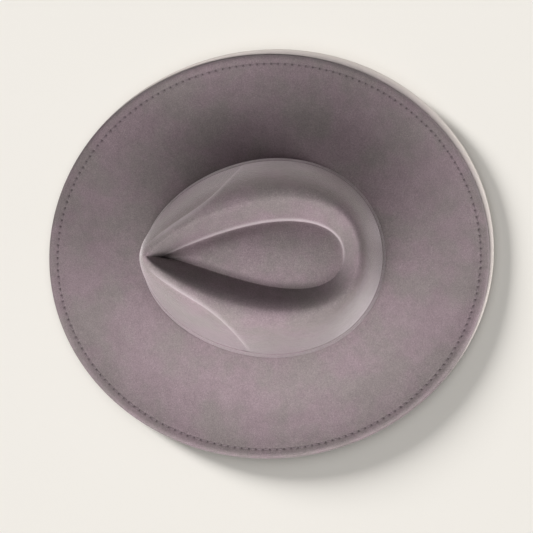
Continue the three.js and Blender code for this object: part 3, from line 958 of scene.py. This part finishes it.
def bow():
    """A flat bow: a loop and a tail to each side, and the knot that holds them."""
    for side, name in ((1, "left"), (-1, "right")):
        yield ribbon_strip(f"bow_loop_{name}", *bow_loop(side))
        yield ribbon_strip(f"bow_tail_{name}", *bow_tail(side))
    yield ribbon_strip("bow_knot", *bow_knot())


for piece in bow():
    dress(piece, RIBBON, "ribbon", "sweatband_bow")


LINING_SLACK = 1.6
TIP_RISE, TIP_PUCKER = 5, 0.5


def gathers(u, height):
    """Soft uneven gathers of the lining that grow above the sweatband."""
    free = smooth((height - SWEATBAND_TOP + 6) / 14) * smooth((LINING_TOP - height + 2) / 8)
    wavy = np.sin(23 * u + 2 * np.sin(3 * u)) + 0.6 * np.sin(41 * u + 3 * np.sin(5 * u))
    return free * (LINING_SLACK + wavy)


lining_side = wall_band("lining_side_satin", LINING_FOOT, LINING_TOP, LINING_DEPTH,
                        LINING_THICKNESS, BAND_SIDES, 26, gathers)
dress(lining_side, SATIN, "satin", "lining_side")


def lining_tip():
    """The lining's oval top, puckered where it is sewn to the lining's side."""
    u = angles(240)
    rim = wall_point(u, LINING_TOP, LINING_DEPTH + LINING_THICKNESS + GAP)
    shares = np.linspace(0, 0.97, 40)
    middle = np.array([0, 0, CROWN_FOOT + LINING_TOP])

    def row(share, drop):
        points = rim * (1 - share) + middle * share
        pucker = TIP_PUCKER * np.sin(34 * u + 1.5 * np.sin(7 * u)) * smooth(1 - share / 0.35)
        points[:, 2] = middle[2] + TIP_RISE * smooth(share / 0.6) + pucker - drop
        return points

    above = [row(share, 0) for share in shares[::-1]]
    below = [row(share, LINING_THICKNESS) for share in shares]
    top = middle + np.array([0, 0, TIP_RISE])
    bottom = top - np.array([0, 0, LINING_THICKNESS])
    return capped_piece("lining_tip_satin", top, above + below, bottom)


lining_oval = dress(lining_tip(), SATIN, "satin", "lining_tip")

LABEL_MIDDLE = (LABEL_LOW + LABEL_HIGH) / 2 - ORIGIN
LABEL_HALF = (LABEL_HIGH - LABEL_LOW) / 2
LABEL_SQUARENESS = 0.28  # 1 is an oval, less is squarer
LABEL_MIDDLE_SHARE = 0.55  # thickness of its middle, as a share of the edge's
LABEL_SEAM_AT = 0.93
LABEL_STITCH_CLEAR, LABEL_STITCH_ARCH = 0.1, 0.12


def rounded_outline(u, scale):
    """A rectangle with round corners, the label's own at scale 1."""
    x = np.sign(np.sin(u)) * np.abs(np.sin(u)) ** LABEL_SQUARENESS
    y = np.sign(np.cos(u)) * np.abs(np.cos(u)) ** LABEL_SQUARENESS
    return plan(x * LABEL_HALF[0], -y * LABEL_HALF[1]) * scale


def label():
    """The blank label: its woven edge is a little thicker than its middle."""
    u = angles(120)
    shares = np.linspace(0.05, 0.985, 30)

    def row(share, side):
        edge = (1 - LABEL_MIDDLE_SHARE) * smooth((share - 0.86) / 0.05)
        rounding = 0.5 * smooth((share - 0.96) / 0.03)
        height = LABEL_MIDDLE[2] + side * LABEL_HALF[2] * (LABEL_MIDDLE_SHARE + edge - rounding)
        flat = LABEL_MIDDLE[:2] + rounded_outline(u, share)
        return np.concatenate([flat, np.full((len(u), 1), height)], 1)

    rows = [row(share, 1) for share in shares] + [row(share, -1) for share in shares[::-1]]
    tip = np.array([0, 0, LABEL_MIDDLE_SHARE * LABEL_HALF[2]])
    return capped_piece("label_patch", LABEL_MIDDLE + tip, rows, LABEL_MIDDLE - tip)


def label_stitch_paths():
    """Stitches of equal length just inside the label's edge, on its lower face."""
    u = np.linspace(0, 2 * math.pi, 2000)
    line = rounded_outline(u, LABEL_SEAM_AT)
    length = np.concatenate([[0], np.cumsum(np.linalg.norm(np.diff(line, axis=0), axis=1))])
    share = np.linspace(0.12, 0.88, 7)
    for i in range(LABEL_STITCHES):
        at = (i + share) / LABEL_STITCHES * length[-1]
        x, y = (np.interp(at, length, line[:, axis]) for axis in (0, 1))
        drop = LABEL_HALF[2] + LABEL_STITCH_CLEAR + LABEL_STITCH_ARCH * np.sin(share * math.pi)
        yield LABEL_MIDDLE + np.stack([x, y, -drop], -1)


label_patch = dress(label(), RIBBON, "ribbon", "lining_label")
label_stitches = twisted_stitches("label_stitches", label_stitch_paths(), LABEL_THREAD_RADIUS, 1)
dress(label_stitches, BAND_THREAD, "band_thread", "lining_label")

# ------------------------------------------------------------------ CAD nodes that show as they are

for node, material in {
    "brim_core": CORE,
    "brim_wire": STEEL,
    "brim_wire_sleeve": STEEL,
}.items():
    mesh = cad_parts[node].data
    mesh.materials.clear()
    mesh.materials.append(material)

# ------------------------------------------------------------------ floor and lights


FLOOR_HALF, FLOOR_LOWER = 6, 0.0005


def add_floor():
    mesh = bpy.data.meshes.new("floor")
    signs = (-1, -1), (1, -1), (1, 1), (-1, 1)
    mesh.from_pydata([(x * FLOOR_HALF, y * FLOOR_HALF, 0) for x, y in signs], [], [(0, 1, 2, 3)])
    floor = bpy.data.objects.new("floor", mesh)
    floor.location.z = -FLOOR_LOWER
    bpy.context.scene.collection.objects.link(floor)
    n = Nodes("pale_floor")
    tone = n.mix(n.noise(2, 2, 0.5), rgb(238, 234, 227), rgb(241, 237, 230))
    mesh.materials.append(n.finish(Base_Color=tone, Roughness=0.9, Specular_IOR_Level=0.1))
    floor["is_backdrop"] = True
    return floor


LAMP_DISTANCE, LAMP_SIZE, LOW_LAMP_SIZE = 1.3, 0.6, 0.25
AIM_HEIGHT = 0.05


def add_lamp(data, azimuth, elevation, distance):
    """Aims a light at the hat. Azimuth 0 is at the back (+Y), 90 is the wearer's left (+X)."""
    lamp = bpy.data.objects.new(data.name, data)
    a, e = math.radians(azimuth), math.radians(elevation)
    direction = Vector((math.sin(a) * math.cos(e), math.cos(a) * math.cos(e), math.sin(e)))
    lamp.location = direction * distance + Vector((0, 0, AIM_HEIGHT))
    lamp.rotation_mode = "QUATERNION"
    lamp.rotation_quaternion = direction.to_track_quat("Z", "Y")
    bpy.context.scene.collection.objects.link(lamp)
    return lamp


def add_area_light(name, azimuth, elevation, size, power):
    """A square lamp near the hat."""
    data = bpy.data.lights.new(name, "AREA")
    data.size, data.energy = size, power
    return add_lamp(data, azimuth, elevation, LAMP_DISTANCE)


def add_sun(name, azimuth, elevation, spread, strength):
    """An even light from far away, spread over an angle so that its shadows are soft."""
    data = bpy.data.lights.new(name, "SUN")
    data.angle, data.energy = math.radians(spread), strength
    return add_lamp(data, azimuth, elevation, LAMP_DISTANCE)


def light_only(lamp, *objects):
    """Lets a lamp light these objects alone."""
    group = bpy.data.collections.new(lamp.name + "_lit")
    for thing in objects:
        group.objects.link(thing)
    lamp.light_linking.receiver_collection = group


# (azimuth, elevation, watts). The crown and the brim are lit apart, as in a retouched studio picture.
CROWN_LAMPS = (90, 50, 8.5), (120, 30, 7.5), (120, 50, 5), (180, 12, 4), (180, 50, 2), (45, 30, 1)
CROWN_LOW_LAMPS = (270, 3, 4.8), (0, 3, 2)  # small, so that they don't reach into the crease
BRIM_LAMPS = (
    (195, 12, 2.5),
    (150, 50, 2.5),
    (120, 30, 7.5),
    (30, 30, 11),
    (120, 50, 3.5),
    (90, 50, 3),
    (90, 30, 3.5),
)
FLOOR_SUN = {"azimuth": 217, "elevation": 14, "spread": 14, "strength": 6.5}
FLOOR_SKY = {"azimuth": 217, "elevation": 88, "spread": 110, "strength": 1.45}
WORLD_COLOUR, WORLD_STRENGTH = (1.0, 0.99, 0.975, 1), 0.04


def add_lamps(group, lamps, size, things):
    for azimuth, elevation, power in lamps:
        name = f"{group}_{azimuth}_{elevation}"
        light_only(add_area_light(name, azimuth, elevation, size, power), *things)


def light_floor(floor, shadow_casters):
    """Lights the floor apart from the hat, whose brim alone casts the low sun's shadow."""
    sun = add_sun("floor_sun", **FLOOR_SUN)
    light_only(sun, floor)
    casters = bpy.data.collections.new("casts_the_floor_shadow")
    for piece in shadow_casters:
        casters.objects.link(piece)
    sun.light_linking.blocker_collection = casters
    light_only(add_sun("floor_sky", **FLOOR_SKY), floor)


def add_world():
    world = bpy.data.worlds.new("studio")
    world.use_nodes = True
    background = world.node_tree.nodes["Background"]
    background.inputs["Color"].default_value = WORLD_COLOUR
    background.inputs["Strength"].default_value = WORLD_STRENGTH
    bpy.context.scene.world = world


floor = add_floor()
brim_pieces = [brim_top_cloth, brim_under_cloth, *edge_stitches]
other_pieces = [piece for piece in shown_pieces() if piece not in brim_pieces]
add_lamps("brim", BRIM_LAMPS, LAMP_SIZE, brim_pieces)
add_lamps("crown", CROWN_LAMPS, LAMP_SIZE, other_pieces)
add_lamps("low", CROWN_LOW_LAMPS, LOW_LAMP_SIZE, other_pieces)
light_floor(floor, [brim_top_cloth, brim_under_cloth])
add_world()
bpy.context.scene.view_settings.view_transform = "Standard"
